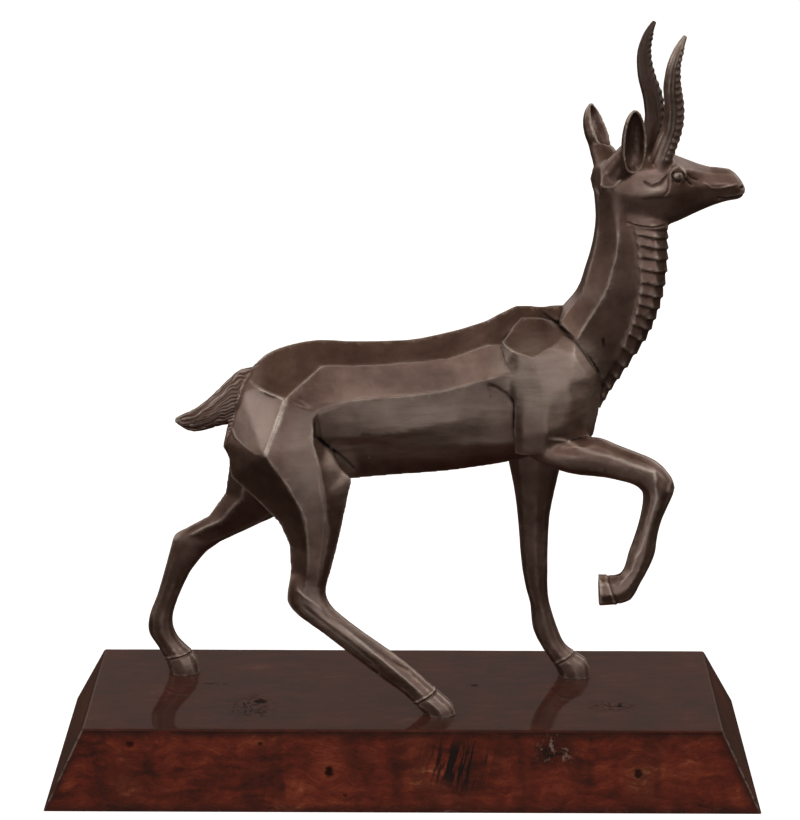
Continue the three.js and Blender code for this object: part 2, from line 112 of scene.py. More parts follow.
def toLine(points, line):  # distance of each point from a run of straight stretches, and the share along it
    nearest, share = np.full(len(points), 1e9), np.zeros(len(points))
    line = np.array(line, float)
    for index, (start, end) in enumerate(zip(line, line[1:])):
        along = np.clip((points - start) @ (end - start) / np.sum((end - start) ** 2), 0, 1)
        gap = np.linalg.norm(points - start - along[:, None] * (end - start), axis=1)
        share = np.where(gap < nearest, (index + along) / (len(line) - 1), share)
        nearest = np.minimum(gap, nearest)
    return nearest, share


def readPoints(mesh):
    points, normals = np.empty(len(mesh.vertices) * 3), np.empty(len(mesh.vertices) * 3)
    mesh.vertices.foreach_get("co", points)
    mesh.vertex_normals.foreach_get("vector", normals)
    return points.reshape(-1, 3), normals.reshape(-1, 3)


def writePoints(mesh, points):
    mesh.vertices.foreach_set("co", points.ravel())
    mesh.update()


def gather(count, index, values):  # the sum of the values that share an index
    return np.stack([np.bincount(index, column, count) for column in values.T], axis=1)


def neighbours(mesh):
    ends = np.empty(len(mesh.edges) * 2, np.int64)
    mesh.edges.foreach_get("vertices", ends)
    a, b = ends.reshape(-1, 2).T
    count = len(mesh.vertices)
    return a, b, np.bincount(a, minlength=count) + np.bincount(b, minlength=count)


def soften(values, joined, times, weight=1.0):  # each value moves towards the mean of its neighbours
    a, b, uses = joined
    for _ in range(times):
        mean = (gather(len(values), a, values[b]) + gather(len(values), b, values[a])) / uses[:, None]
        values = values + (mean - values) * weight
    return values


# Antelope

antelopeLook = {
    "skin": 0.8,             # mm between the points of the carved skin
    "melting": 12,           # rounds that smooth the ledges
    "planing": 24,           # rounds that flatten each plane and keep the edges between planes
    "edgeAngle": 0.16,       # how different two neighbouring planes are, for an edge to stay
    "triangles": 196000,
    "foot": 44,              # mm, the plinth's top
    "middle": -4,            # mm, the figure's middle across the plinth
    "headTurn": 16,          # degrees that the nose points away from the viewer
    "headForward": 120,      # mm
    "ridgeHeight": 0.4,      # mm
    "ridgeWidth": 0.9,
    "grooveDepth": 0.6,
    "grooveWidth": 1.0,
    "headScale": 0.62,       # how much finer the lines of the head are
    "hornRings": 19,
    "hornRingDepth": 0.2,
    "hornPadding": 0.25,     # mm that the horns lose when their skin is softened
    "hornReach": 8.5,        # mm from a horn's middle that still belongs to it
    "hornRoot": (337, 341),  # mm above the plinth
    "fluteDepth": 0.35,
    "hairWidth": 2.1,        # mm between the strands of the tail
    "hairDepth": 0.34,
    "coronet": 0.3,          # mm, the rim above each hoof
    "coronetGroove": 0.35,
    "cleft": 0.9,
    "casting": 0.10,         # mm, the unevenness that the mould leaves
    "edgeWear": 0.58,        # how pale the rubbed places are, from 0 to 1; the pale edges are also painted highlight, the cheek and the near horn are painted highlight, and the far horn is kept dark as painted shade
    "hoofWear": 0.06,
    "cheekHighlight": 0.3,
    "nearHornLight": 0.16,
    "farHornShade": 0.75,
    "throatShade": 0.65,      # how dark, from 0 to 1: the throat and the far legs as painted shade, the hollows as patina
    "farLegShade": 0.3,
    "hollowDirt": 0.7,
}

# Edges of the planes that are worn bright, their pale colour whitened further as painted highlights: how worn, then
# mm along the figure and above the plinth.
ridges = {
    "tailToRump": (0.6, [(-92, 204.5), (-84, 202.3), (-76, 200.8), (-69.4, 199.8)]),
    "rumpToBack": (0.35, [(-69.4, 199.8), (-60, 208), (-48.1, 217.9)]),
    "upperFlank": (0.09, [(-48.1, 217.9), (-13.7, 218.6), (-1.8, 219.9), (27.8, 223), (49.1, 231.1),
                          (58.5, 232.6)]),
    "rumpEdge": (1.3, [(-69.4, 199.8), (-75, 184), (-81.9, 166.8)]),
    "buttock": (0.25, [(-80.9, 166.1), (-88.7, 166.1), (-95.4, 168.4), (-100.9, 171.9), (-103, 176.6)]),
    "besideTail": (0.25, [(-92, 208), (-95.9, 203.5), (-100.6, 189.5)]),
    "flankMiddle": (0.05, [(-50, 195), (-47.9, 197.7), (-36.6, 198.7), (-2.9, 201.9), (22.5, 205.6),
                           (52.6, 213.8)]),
    "shoulderLower": (0.08, [(58.5, 233), (65.4, 229.2), (76.4, 226.1), (87.2, 232), (94.4, 237.3)]),
    "shoulderDown": (0.04, [(77.2, 225.5), (80.9, 212.6), (83.9, 194), (86.4, 179.1)]),
    "chest": (0.04, [(96.3, 240.3), (103.5, 231.1), (110.8, 220.1), (116.3, 212.7), (116.3, 197.8),
                     (114.3, 181)]),
    "neckSide": (0.1, [(124.9, 309.2), (125.9, 294.2), (125.5, 285.1), (122.8, 276), (119.6, 263.9),
                       (113.9, 253.5), (107, 242.4), (103, 236.3)]),
}
# The same on the near legs, where the pale lines on knee, shin and hock are painted highlights as well as wear.
nearRidges = {
    "hamstring": (0.22, [(-81.9, 166.8), (-75.5, 156.1), (-68.5, 148), (-63.2, 137.2), (-58, 125.8),
                         (-57, 102.4), (-59.1, 78.8)]),
    "thighFront": (0.15, [(-50, 195), (-52.3, 189.6), (-53.4, 175.6), (-50.8, 163.9), (-49.8, 147.3),
                          (-46.6, 128.3), (-49.1, 104.3), (-52.7, 80.1)]),
    "foreArm": (0.75, [(87.6, 177), (95, 175.6), (105.5, 170.8), (128.2, 164.6), (149.7, 156.4), (151, 148.6)]),
    "knee": (0.6, [(155.5, 158), (160.3, 150.4), (158, 144)]),
    "shin": (0.45, [(150.6, 148), (151.6, 140.2), (148.2, 125.9), (142.8, 106.7), (139.6, 101)]),
    "pastern": (0.3, [(140.4, 101.5), (137.4, 92.5), (131, 84.4)]),
    "hock": (0.5, [(-64, 80.5), (-59.6, 76.4), (-52.2, 71.3), (-41.4, 61.3), (-29.3, 51.3), (-6.2, 31.3),
                   (9.6, 17.6)]),
}
grooves = {
    "neckRoot": (1.0, [(82.8, 247.3), (92.2, 242), (101.9, 234.3), (110.5, 222.6), (118, 211.8)]),
    "armpit": (0.8, [(50.9, 209.2), (56.2, 207), (61.6, 202.9), (65.2, 198.6)]),
}
nearGrooves = {
    "tendon": (0.55, [(-49, 69), (-46.2, 65), (-35.3, 57.5), (-22, 47.4), (-9.9, 38.6), (2, 31)]),
    "underTendon": (0.4, [(-60, 70), (-48, 60), (-33, 48.5), (-14, 32)]),
    "thighFold": (1.0, [(-52.3, 188), (-51.8, 177.9), (-46.3, 170.9), (-39.6, 163.9), (-33, 155.6), (-29, 150)]),
}

# The same on the head, in its own directions: along the nose and above the plinth.
headRidges = {
    "occiputTop": (0.7, [(-12.2, 331.7), (-9.1, 335.4), (-4.9, 338.5)]),
    "occiputLow": (0.6, [(-10.5, 327.8), (-5.7, 324.9), (-1.0, 325.0), (3.6, 329.3)]),
    "muzzle": (0.45, [(57.3, 323.7), (62.3, 320.0), (68.0, 319.2), (78.4, 320.9)]),
    "muzzleEnd": (0.4, [(76.1, 329.7), (78.7, 324.9), (80.4, 321.7)]),
    "browRim": (0.45, [(34.1, 332.1), (36.4, 334.6), (39.5, 335.2), (42.8, 332.7), (44.4, 329.2)]),
}
headGrooves = {
    "cheekCrease": (0.7, [(17.3, 327.5), (22.2, 324.9), (27.7, 326.1), (32.3, 330.4)]),
    "behindEye": (0.5, [(32.5, 331.0), (32.9, 325.5), (32.2, 321.5), (29.5, 318.6)]),
    "upperLid": (0.8, [(34.6, 330.2), (36.0, 332.6), (39.2, 333.4), (42.0, 331.6), (43.2, 328.8)]),
    "lowerLid": (0.8, [(34.6, 329.6), (36.2, 326.8), (39.2, 325.6), (42.4, 326.9), (43.4, 328.4)]),
    "tearDuct": (0.8, [(43.6, 327.6), (46.3, 324.6), (48.6, 322.8)]),
    "browFold": (0.5, [(45.2, 329.7), (48.8, 326.6), (53.5, 325.0)]),
    "mouth": (0.8, [(85.2, 313.6), (80, 313.0), (72, 312.6), (66, 313.4)]),
    "jaw": (0.6, [(8, 303.6), (14, 301.4), (22, 300.2), (31, 300.4)]),
}
# Spots of the face, also in the head's directions: middle, reach and tilt in degrees.
face = {
    "eye": ((39, 329.5), (4.8, 3.2), 15),
    "pupil": ((39.4, 329.6),),
    "nostril": ((82.6, 318.4), (1.3, 0.9)),
    "cheekbone": ((26, 321.5), (8, 4)),
    # a painted highlight on the cheek
    "cheekHighlightSpot": ((24, 322), (8, 3.4)),
}
# The middle of a horn from its root to its tip: ahead, out from the middle, above.
hornPath = [(29, 8.5, 334), (32.5, 9.5, 346), (35.5, 12, 358), (34.8, 16, 371), (31.4, 20.5, 384),
            (30.6, 24, 396), (33, 25.5, 406.5), (36.6, 26, 414.2)]
# Where the hair of the tail starts: above the plinth, along. Then the tail itself: along, its top, its underside.
tailRoot = [(168, 189.5, 203.5, 208, 214), (-104, -100.6, -95.9, -92, -86)]
tailEdges = [(-88, 211, 178), (-97, 209.6, 175), (-106.5, 202, 173.5), (-118.3, 190, 171.6),
             (-126.5, 184, 170.6), (-133.5, 180.8, 173), (-138, 178.4, 176.6)]
# Hooves: the two ends of the coronet, how far out from the middle the cleft runs, and where the front points.
hooves = {
    "nearHind": ((7, 7.5), (20.5, 16.2), -34, 1),
    "farHind": ((-152, 9.5), (-135, 14.2), 29.6, 1),
    "farFore": ((95, 8.6), (109, 17.0), 26, 1),
    "nearFore": ((123.4, 89), (130.2, 70.5), -28, -1),   # raised, and folded back
}
# Places where small ledges between the solids melt away: along, above the plinth, radius, all mm.
melts = {
    "hip": (-50, 194, 9),
    "hipTop": (-60, 200.5, 6),
    "buttockLow": (-105, 163, 9),
    "stifle": (-40, 160, 8),
    "elbow": (70, 166, 9),
    "armpit": (66, 208, 6),
    "forearmRoot": (88, 168, 9),
    "hock": (-58, 84, 9),
    "tailRoot": (-94, 196, 10),
    "chestFront": (114, 176, 8),
}

# Broad places painted paler as painted light, and others painted darker as painted shade: how much, along, above,
# radii, all mm.
paintedLightPlaces = [(0.24, 76, 214, 20, 22), (0.22, 96, 212, 20, 26), (0.2, 0, 190, 48, 11), (0.14, 40, 197, 20, 12),
        (0.14, -57, 172, 12, 22), (0.16, -88, 184, 14, 18), (0.12, -40, 55, 26, 20),
        (0.3, 106, 218, 9, 18), (0.24, 30, 190, 36, 9), (0.17, 5, 171, 62, 12), (0.3, -37, 158, 9, 17),
        (0.22, 112, 196, 7, 16)]
paintedShadePlaces = [(0.42, 112, 285, 12, 46), (0.35, 126, 262, 8, 46), (0.3, -40, 118, 10, 30), (0.45, 72, 62, 16, 56),
         (0.2, -72, 140, 12, 22), (0.2, 140, 308, 24, 9), (0.25, 70, 240, 18, 10), (0.5, 84, 42, 14, 34),
         (0.16, 4, 211, 56, 7)]


def broad(at, places):
    values = np.zeros(len(at["x"]))
    for strength, x, z, wide, high in places:
        reach = np.hypot((at["x"] - x) / wide, (at["z"] - z) / high)
        values = np.maximum(values, strength * (1 - rise(0.6, 1.5, reach)))
    return values


def planeDown(mesh, look, weight):  # flattens each plane of the carving and leaves the edges between planes
    corner, edge = np.empty(len(mesh.loops), np.int64), np.empty(len(mesh.loops), np.int64)
    sides = np.empty(len(mesh.polygons), np.int64)
    mesh.loops.foreach_get("vertex_index", corner)
    mesh.loops.foreach_get("edge_index", edge)
    mesh.polygons.foreach_get("loop_total", sides)
    facing = np.empty(len(sides) * 3)
    mesh.polygons.foreach_get("normal", facing)
    facing = facing.reshape(-1, 3)
    face = np.repeat(np.arange(len(sides)), sides)
    order = np.argsort(edge, kind="stable")
    first, second = face[order[0::2]], face[order[1::2]]
    for _ in range(look["planing"]):
        gap = np.sum((facing[first] - facing[second]) ** 2, axis=1)
        pull = np.exp(-gap / look["edgeAngle"] ** 2)[:, None]
        facing = (facing + gather(len(sides), first, facing[second] * pull)
                  + gather(len(sides), second, facing[first] * pull))
        facing /= np.linalg.norm(facing, axis=1)[:, None]
    points, _ = readPoints(mesh)
    uses = np.bincount(corner, minlength=len(points))[:, None]
    for _ in range(look["planing"]):
        centre = gather(len(sides), face, points[corner]) / sides[:, None]
        off = np.sum((centre[face] - points[corner]) * facing[face], axis=1)[:, None] * facing[face]
        points += gather(len(points), corner, off) / uses * weight[:, None]
    writePoints(mesh, points)


def whereOn(mesh, look):  # each point in the figure's and in the head's own directions, mm
    points, normals = readPoints(mesh)
    x, y, z = (points / mm - [0, look["middle"], look["foot"]]).T
    turn = radians(look["headTurn"])
    ahead = (x - look["headForward"]) * cos(turn) + y * sin(turn)
    aside = y * cos(turn) - (x - look["headForward"]) * sin(turn)
    return {"points": points, "normals": normals, "x": x, "y": y, "z": z, "ahead": ahead, "aside": aside}


def onHorns(at, look):  # for each horn: its points, their share of the way up, and how far they face forward
    place = np.stack([at["ahead"], at["aside"], at["z"]], axis=1)
    for side in (-1, 1):
        line = np.array([(x, y * side, z) for x, y, z in hornPath], float)
        gap, share = toLine(place, line)
        spots = share * (len(line) - 1)
        centre = np.stack([np.interp(spots, range(len(line)), line[:, k]) for k in range(3)], axis=1)
        mine = (gap < look["hornReach"]) * rise(*look["hornRoot"], at["z"]) * (side * at["aside"] > 0)
        yield side, mine, share, (place - centre)[:, 0] / np.maximum(gap, 0.5)


def awayFrom(at, spot, reach=(1, 1), tilt=0):  # distance from a spot of the head, 1 at its reach
    ahead, above, turn = at["ahead"] - spot[0], at["z"] - spot[1], radians(tilt)
    return np.hypot((ahead * cos(turn) - above * sin(turn)) / reach[0],
                    (ahead * sin(turn) + above * cos(turn)) / reach[1])


def meltLedges(mesh, look):
    at = whereOn(mesh, look)
    joined = neighbours(mesh)
    weight = np.zeros(len(at["x"]))
    for x, z, radius in melts.values():
        weight = np.maximum(weight, fade(np.hypot(at["x"] - x, at["z"] - z), radius))
    points = soften(at["points"], joined, look["melting"], (weight * 0.6)[:, None])
    cheek = rise(-8, 0, at["ahead"]) * (1 - rise(48, 56, at["ahead"])) * fade(at["z"] - 314.5, 6.5)
    points = soften(points, joined, 2 * look["melting"], (cheek * 0.8)[:, None])
    skull = rise(-16, -10, at["ahead"]) * rise(296, 302, at["z"]) * (1 - rise(338, 350, at["z"]))
    skull *= 1 - 0.85 * fade(awayFrom(at, face["eye"][0]), 5.5)   # the eyes keep their lids
    weight = np.maximum(weight, 0.85 * skull)
    for _, mine, share, _ in onHorns(at, look):
        weight = np.maximum(weight, mine * (1 - rise(0.86, 0.94, share)))
    writePoints(mesh, soften(points, joined, look["melting"], (weight * 0.6)[:, None]))


def isSmall(at):  # the head, the tail and the hooves
    head = (at["z"] > 296) & (at["x"] > 104)
    tail = (at["x"] < -90) & (at["z"] > 168)
    hoof = (at["z"] < 18) | ((at["x"] > 112) & (at["z"] > 66) & (at["z"] < 94))
    return head | tail | hoof


def refine(mesh, look):  # a finer skin where the carving is small
    chosen = isSmall(whereOn(mesh, look))
    bm = bmesh.new()
    bm.from_mesh(mesh)
    small = [e for e in bm.edges if chosen[e.verts[0].index] and chosen[e.verts[1].index]]
    bmesh.ops.subdivide_edges(bm, edges=small, cuts=1, use_grid_fill=True)
    bm.to_mesh(mesh)
    bm.free()


def lineCarving(at, look):
    lift, worn, cut = np.zeros(len(at["x"])), np.zeros(len(at["x"])), np.zeros(len(at["x"]))
    body = np.stack([at["x"], at["z"]], axis=1)
    head = np.stack([at["ahead"], at["z"]], axis=1)
    turn = radians(look["headTurn"])
    sideways = rise(0.1, 0.4, np.sign(at["y"]) * at["normals"][:, 1])
    onHead = rise(-18, -12, at["ahead"]) * rise(297, 300, at["z"])
    acrossHead = at["normals"][:, 1] * cos(turn) - at["normals"][:, 0] * sin(turn)
    headways = rise(0.05, 0.3, np.sign(at["aside"]) * acrossHead) * onHead
    near = (at["y"] < 0) * sideways
    sets = ((ridges, body, sideways * (1 - onHead), True), (nearRidges, body, near, True),
            (headRidges, head, headways, True), (grooves, body, sideways, False),
            (nearGrooves, body, near, False), (headGrooves, head, headways, False))
    for lines, place, mask, isRidge in sets:
        finer = look["headScale"] if place is head else 1.0
        for strength, line in lines.values():
            gap, share = toLine(place, line)
            ends = rise(0, 0.06, share) * (1 - rise(0.94, 1, share)) * 0.5 + 0.5
            if isRidge:
                width = look["ridgeWidth"] * finer * (0.6 + 0.9 * strength)
                height = look["ridgeHeight"] * (0.2 + 0.8 * strength)
                # how pale the ridge is painted: rubbed metal, and a painted highlight on top of it
                paleTone = strength * (0.75 + 0.25 * np.sin(share * 11 + len(line)))
                lift = np.maximum(lift, fade(gap, width) * mask * ends * height)
                worn = np.maximum(worn, fade(gap, width * 0.8) * mask * ends * paleTone)
            else:
                valley = fade(gap, look["grooveWidth"] * finer) * mask * ends * strength
                cut = np.maximum(cut, valley)
    return lift - cut * look["grooveDepth"], worn, cut


def faceCarving(at):
    onSide = rise(8, 10, np.abs(at["aside"])) * (at["z"] > 318)
    ring, pupil, nostril, cheekbone = (awayFrom(at, *face[name])
                                       for name in ("eye", "pupil", "nostril", "cheekbone"))
    lid = 0.28 * fade(ring - 1.06, 0.14) - 0.35 * fade(ring - 0.84, 0.1)
    iris = -0.15 * fade(pupil - 2.0, 0.4) - 0.25 * fade(pupil, 1.1)
    lift = (lid + iris + 0.5 * fade(cheekbone, 1.0)) * onSide
    lift -= 0.9 * fade(nostril, 1.0) * rise(1.5, 3, np.abs(at["aside"]))
    darkening = np.maximum(fade(ring - 0.86, 0.12), 0.8 * fade(pupil, 1.2)) * onSide
    return lift, np.maximum(darkening, fade(nostril, 1.2)) * (at["z"] > 300) * (at["ahead"] > 20)


def hornCarving(at, look):
    lift, darkening, onHorn = (np.zeros(len(at["x"])) for _ in range(3))
    for side, mine, share, ahead in onHorns(at, look):
        crest = 0.5 + 0.5 * np.cos(2 * pi * (share * (look["hornRings"] + 2) - 0.5))
        ringed = rise(-0.3, 0.2, ahead) * (1 - rise(0.86, 0.93, share))
        flute = fade(ahead + 0.5, 0.14) + 0.7 * fade(ahead + 0.1, 0.1)
        lift += mine * look["hornRingDepth"] * (crest * 2 - 1) * ringed
        lift -= mine * look["fluteDepth"] * flute * (1 - ringed * 0.4) * (1 - rise(0.8, 0.95, share))
        lift += mine * look["hornPadding"] * (1 - rise(0.86, 0.94, share))
        # dark in the rings and flutes, and the whole far horn painted dark as shade
        grimeAndFarShade = (1 - crest) ** 2 * ringed * 0.6 + 0.5 * flute * (1 - ringed) + (1 if side > 0 else 0)
        darkening = np.maximum(darkening, mine * grimeAndFarShade)
        onHorn = np.maximum(onHorn, mine)
    return lift, np.clip(darkening, 0, 1), onHorn


def tailCarving(at, look):
    edges = np.array(tailEdges)[::-1]
    top, low = (np.interp(at["x"], edges[:, 0], edges[:, k]) for k in (1, 2))
    across = (top - at["z"])   # mm down from the top edge
    behind = np.interp(at["z"], *np.array(tailRoot)) - at["x"]
    isTail = rise(-0.5, 1.5, behind) * rise(-2, 0, at["z"] - low) * (at["z"] > 168)
    spread = across / np.maximum(top - low, 1)
    wander = 0.7 * np.sin(at["x"] * 0.42 + spread * 7) + 0.45 * np.sin(at["x"] * 0.83 + at["y"])
    strands = (spread * 30 + wander + np.sign(at["y"]) * 0.6) / look["hairWidth"]
    wave = np.abs(np.sin(pi * strands))
    lock = np.abs(np.sin(pi * strands / 3.1 + at["x"] * 0.06))
    lift = isTail * (look["hairDepth"] * (wave - 0.6) + 0.3 * (lock - 0.6))
    return lift, isTail * (1 - wave) ** 2 * 0.9


def hoofCarving(at, look):
    lift, darkening, horny = (np.zeros(len(at["x"])) for _ in range(3))
    for (x1, z1), (x2, z2), out, way in hooves.values():
        span = np.array([x2 - x1, z2 - z1])
        span = span / np.linalg.norm(span) * way
        off = (at["z"] - z1) * span[0] - (at["x"] - x1) * span[1]   # mm above the coronet, towards the leg
        reach = np.hypot(at["x"] - (x1 + x2) / 2, at["z"] - (z1 + z2) / 2)
        mine = (reach < 20) * (np.abs(at["y"] - out) < 11)
        lift += mine * (look["coronet"] * fade(off - 1.0, 1.0) - look["coronetGroove"] * fade(off + 0.3, 0.7))
        under = mine * (1 - rise(-0.8, 0.2, off))
        cleft = under * fade(at["y"] - out, 0.9) * rise(0.1, 0.5, at["normals"][:, 0] * way)
        lift -= cleft * look["cleft"]
        darkening = np.maximum.reduce([darkening, 0.4 * mine * fade(off + 0.3, 0.8), cleft])
        horny = np.maximum(horny, under)
    return lift, darkening, horny


def castingNoise(points, size, seed):  # gentle lumps of the given size in mm
    shift = Vector((seed, seed * 2.3, -seed))
    return np.array([noise.noise(Vector(p) / (size * mm) + shift) for p in points])


def startSkin(material, look):   # an even skin of small faces over the solid
    bm = bmesh.new()
    bm.from_mesh(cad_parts["antelope"].data)
    bmesh.ops.remove_doubles(bm, verts=bm.verts, dist=0.002 * mm)
    mesh = bpy.data.meshes.new("antelope")
    bm.to_mesh(mesh)
    bm.free()
    piece = newPiece("antelope_bronze", mesh, material)
    skin = piece.modifiers.new("skin", "REMESH")
    skin.mode = "VOXEL"
    skin.voxel_size = look["skin"] * mm
    settle(piece)
    print("antelope: skin of", len(piece.data.polygons), "faces")
    return piece


def shapePlanes(mesh, look):
    at = whereOn(mesh, look)
    head = rise(-16, -12, at["ahead"]) * rise(300, 306, at["z"])
    throat = rise(0.3, 0.6, at["normals"][:, 0]) * rise(112, 120, at["x"]) * rise(190, 200, at["z"])
    planeDown(mesh, look, 1 - 0.9 * np.maximum(head, throat))   # the head and the throat's folds stay round
    meltLedges(mesh, look)
    refine(mesh, look)
    print("antelope: planes flattened,", len(mesh.polygons), "faces")


def carve(mesh, look):
    at = whereOn(mesh, look)
    lift, worn, cut = lineCarving(at, look)
    faceLift, faceDirt = faceCarving(at)
    hornLift, hornGrimeAndShade, onHorn = hornCarving(at, look)
    hairLift, hairDirt = tailCarving(at, look)
    hoofLift, hoofDirt, onHoof = hoofCarving(at, look)
    total = (lift + faceLift) * (1 - onHorn) + hornLift + hairLift + hoofLift
    total += look["casting"] * (castingNoise(at["points"], 14, 3) + 0.4 * castingNoise(at["points"], 4, 7))
    total *= rise(0.1, 1.2, at["z"])   # the soles stay flat on the plinth
    writePoints(mesh, at["points"] + at["normals"] * (total * mm)[:, None])
    # the far horn's painted shade goes in with the grime
    grimeAndFarHornShade = np.maximum.reduce([cut, faceDirt, 0.8 * hornGrimeAndShade, hairDirt, hoofDirt])
    return at, worn, grimeAndFarHornShade, onHorn, onHoof


def markWearAndPaintedLight(mesh, look, at, worn, grimeAndFarHornShade, onHorn, onHoof):  # how rubbed and grimy each point is, with painted highlights and painted shade among them, for the bronze
    points, normals = readPoints(mesh)
    joined = neighbours(mesh)
    coarse, fine, wide = (np.sum((points - soften(points, joined, times)) * normals, axis=1) / mm
                          for times in (6, 22, 60))
    bulge = soften(np.where(isSmall(at), fine, coarse)[:, None], joined, 2)[:, 0]
    # painted highlight on the cheek
    cheek = fade(awayFrom(at, *face["cheekHighlightSpot"]), 1.0) * (np.abs(at["aside"]) > 7) * (at["z"] > 300)
    # paler where rubbed, with painted highlights on the edges, the cheek and broad lit places
    wearAndPaintedLight = np.maximum.reduce([worn, look["edgeWear"] * rise(0.05, 0.3, bulge), look["hoofWear"] * onHoof,
                              look["cheekHighlight"] * cheek, broad(at, paintedLightPlaces) * (at["y"] < 0)])
    # the far horn stays dark as painted shade, and the near horn is painted lighter
    wearAndPaintedLight *= 1 - look["farHornShade"] * onHorn * (at["aside"] > 0)
    wearAndPaintedLight = np.maximum(wearAndPaintedLight, look["nearHornLight"] * onHorn * (at["aside"] < 0))
    # painted shade on the front of the neck
    throat = rise(0.2, 0.6, at["normals"][:, 0]) * rise(112, 120, at["x"])
    throat *= rise(200, 206, at["z"]) * (1 - rise(296, 302, at["z"]))
    shadedFarLegs = rise(6, 12, at["y"]) * (1 - rise(130, 165, at["z"]))   # painted shade on the far legs
    # darker: grime and patina in the hollows, and painted shade on the throat, the far legs, the far horn and broad
    # shaded places
    darkening = np.maximum.reduce([grimeAndFarHornShade, look["throatShade"] * throat, look["farLegShade"] * shadedFarLegs,
                              broad(at, paintedShadePlaces), rise(0.04, 0.3, -bulge)])
    darkening = darkening * 0.8 + look["hollowDirt"] * rise(0.5, 2.6, -wide)
    for name, values in (("wearAndPaintedLight", wearAndPaintedLight), ("darkening", darkening)):
        field = mesh.attributes.new(name, "FLOAT", "POINT")
        field.data.foreach_set("value", np.clip(values, 0, 1).astype(np.float32))


def buildAntelope(material):
    look = antelopeLook
    piece = startSkin(material, look)
    shapePlanes(piece.data, look)
    markWearAndPaintedLight(piece.data, look, *carve(piece.data, look))
    thin = piece.modifiers.new("thin", "DECIMATE")
    thin.ratio = look["triangles"] / (2 * len(piece.data.polygons))
    settle(piece)
    piece.data.polygons.foreach_set("use_smooth", [True] * len(piece.data.polygons))
    print("antelope: carved,", len(piece.data.polygons), "faces")
    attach(piece, "root")
    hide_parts("antelope")


# Cast bronze, chemically patinated dark brown, rubbed back and waxed: planes with a soft sheen, edges rubbed to
# paler metal and whitened as painted highlights, some broad places painted lighter as painted light and others
# darker as painted shade, hollows left nearly black, and the same near black painted as shade on the throat, far
# legs and far horn.
bronzeLook = {
    "patina": [(0.32, "#6c5348"), (0.5, "#876c60"), (0.68, "#a08478")],
    # paler metal, whitened further to serve as painted highlight
    "paleTone": "#fdeee0",
    # patina in the hollows, and the colour of painted shade
    "hollow": "#1d1410",
    "cloud": 26,              # mm, drifts of the patina
    "brush": 5,               # mm, short strokes left by rubbing
    "brushWay": (0.3, 1, 1.6),   # they run along the figure
    "grain": 0.7,             # mm, skin of the casting, drawn coarser than it is so that it shows
    "relief": 0.06,           # mm
    "metallic": (0.92, 0.3),  # as patinated, and where the pale colour of rubbed metal and of painted highlights lies
    "roughness": (0.31, 0.43),
    "darkeningRoughness": 0.3,
    "wearAndLightRoughness": -0.1,
    "wax": (1.0, 0.15),       # on clean metal, and in the hollows and the painted shade
    "waxRoughness": 0.25,
}


def makeBronze():
    look = bronzeLook
    material, tree, surface = newMaterial("patinated_cast_bronze")
    # the wear carries painted highlights, and the darkening carries painted shade besides grime and patina
    wearAndPaintedLight = addNode(tree, "Attribute", {"attribute_name": "wearAndPaintedLight"})["Fac"]
    darkening = addNode(tree, "Attribute", {"attribute_name": "darkening"})["Fac"]
    place = addNode(tree, "TexCoord", {})["Object"]
    along = addNode(tree, "Mapping", {"Vector": place, "Scale": look["brushWay"]})[0]
    cloud, brush, grain = (
        addNode(tree, "TexNoise", {"Vector": source, "Scale": 1 / (look[name] * mm), "Detail": detail,
                                   "Roughness": roughness})[0]
        for name, source, detail, roughness in (("cloud", place, 5, 0.6), ("brush", along, 4, 0.65),
                                                ("grain", place, 3, 0.5)))

    patina = addNode(tree, "ValToRGB", {0: cloud})[0]
    fillRamp(patina, [(position, srgb(shade)) for position, shade in look["patina"]])
    uneven = addNode(tree, "MapRange", {0: brush, 1: 0.35, 2: 0.65, 3: 0.8, 4: 1.35})[0]
    wearAndLightShare = addNode(tree, "Math", {"operation": "MULTIPLY", "use_clamp": True, 0: wearAndPaintedLight, 1: uneven})[0]
    colour = patina
    for share, shade in ((wearAndLightShare, look["paleTone"]), (darkening, look["hollow"])):
        colour = addNode(tree, "Mix", {"data_type": "RGBA", 0: share, 6: colour, 7: srgb(shade)})[2]
    metallic, wax, roughness = (
        addNode(tree, "MapRange", {0: source, 1: low, 2: high, 3: look[name][0], 4: look[name][1]})[0]
        for name, source, low, high in (("metallic", wearAndLightShare, 0, 1), ("wax", darkening, 0, 1),
                                        ("roughness", brush, 0.3, 0.7)))
    for source, change in ((darkening, look["darkeningRoughness"]), (wearAndLightShare, look["wearAndLightRoughness"])):
        roughness = addNode(tree, "Math", {"operation": "MULTIPLY_ADD", 0: source, 1: change, 2: roughness})[0]
    height = addNode(tree, "Math", {"operation": "MULTIPLY_ADD", 0: brush, 1: 3.0, 2: grain})[0]
    bump = addNode(tree, "Bump", {"Height": height, "Strength": 0.4, "Distance": look["relief"] * mm})[0]
    for name, source in (("Base Color", colour), ("Metallic", metallic), ("Roughness", roughness),
                         ("Coat Weight", wax), ("Normal", bump)):
        tree.links.new(source, surface.inputs[name])
    surface.inputs["Coat Roughness"].default_value = look["waxRoughness"]
    return material


# Plinth

plinthLook = {
    "slope": 22,      # mm that each face leans in
    "edge": 1.3,      # mm, rounding of the upper edges
    "step": 9,        # mm between the points along the edges
    "worn": 0.16,     # mm that the edges wander, in waves
    "waves": 17,      # mm
    "dented": 0.1,    # mm, smaller dents
    "dents": 5,       # mm
    "wornBand": 3,    # mm below the top that is worn
    "sharp": 30,      # degrees, from where an edge stays sharp
}


